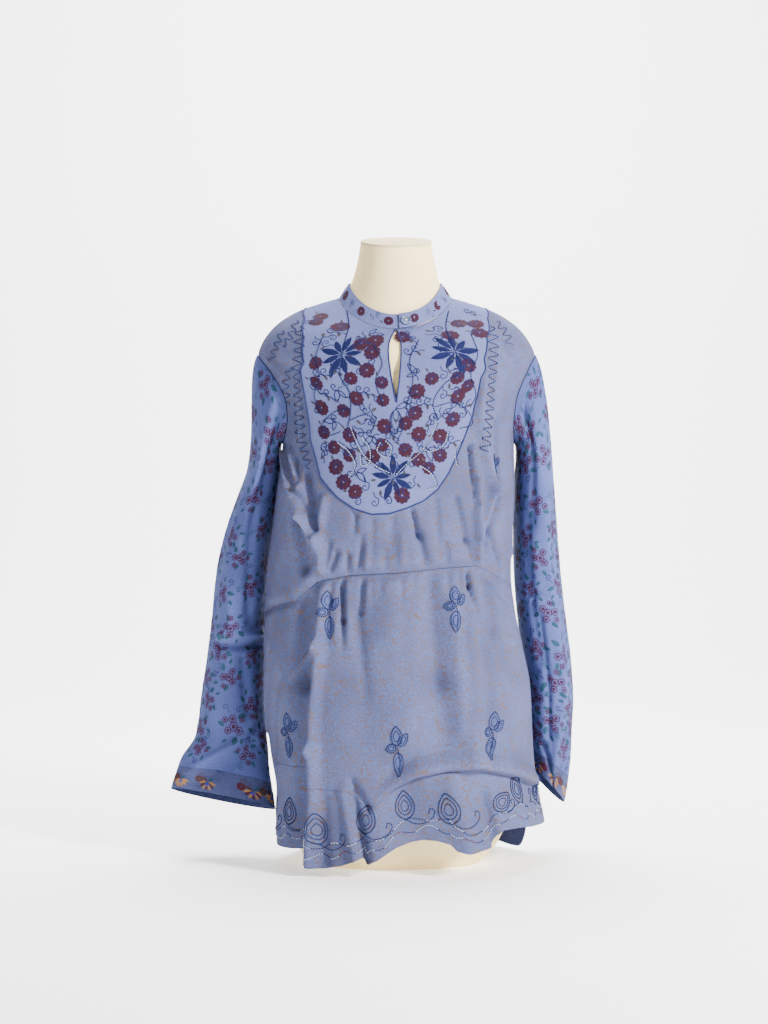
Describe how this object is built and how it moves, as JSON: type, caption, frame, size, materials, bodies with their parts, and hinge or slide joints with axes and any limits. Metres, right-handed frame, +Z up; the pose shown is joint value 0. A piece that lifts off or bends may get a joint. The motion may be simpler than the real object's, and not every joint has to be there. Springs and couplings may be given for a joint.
{
  "type": "blouse on a limbless dress form",
  "caption": "Long-sleeved pull-on blouse with a round-ended bib, keyhole neck and band collar, gathered at the waist, worn by a limbless standing dress form.",
  "frame": {"origin": "middle of the dress form's flat base", "axes": "+Z up the dress form to its neck, the front of the blouse faces -Y, +X is on the right of somebody who looks at the front"},
  "size_m": [0.5502, 0.2867, 0.8465],
  "materials": {
    "body_cloth": "matt woven cotton, grey-blue with a fine ochre figure",
    "bib_cloth": "smooth printed cotton, periwinkle with maroon flowers",
    "sleeve_cloth": "smooth printed cotton, blue with crimson sprays",
    "cuff_cloth": "smooth printed cotton, pale grey-blue",
    "button_pearl": "translucent pearl",
    "form_jersey": "cream cotton jersey"
  },
  "bodies": {
    "root": {"front_bodice": "body_cloth", "front_skirt": "body_cloth", "front_hem_band": "body_cloth", "back_panel": "body_cloth", "back_hem_band": "body_cloth", "bib": "bib_cloth", "collar_band": "bib_cloth", "sleeve_left": "sleeve_cloth", "sleeve_right": "sleeve_cloth", "cuff_band_left": "cuff_cloth", "cuff_band_right": "cuff_cloth", "button": "button_pearl", "form_torso": "form_jersey", "form_neck_cap": "form_jersey"}
  },
  "joints": []
}
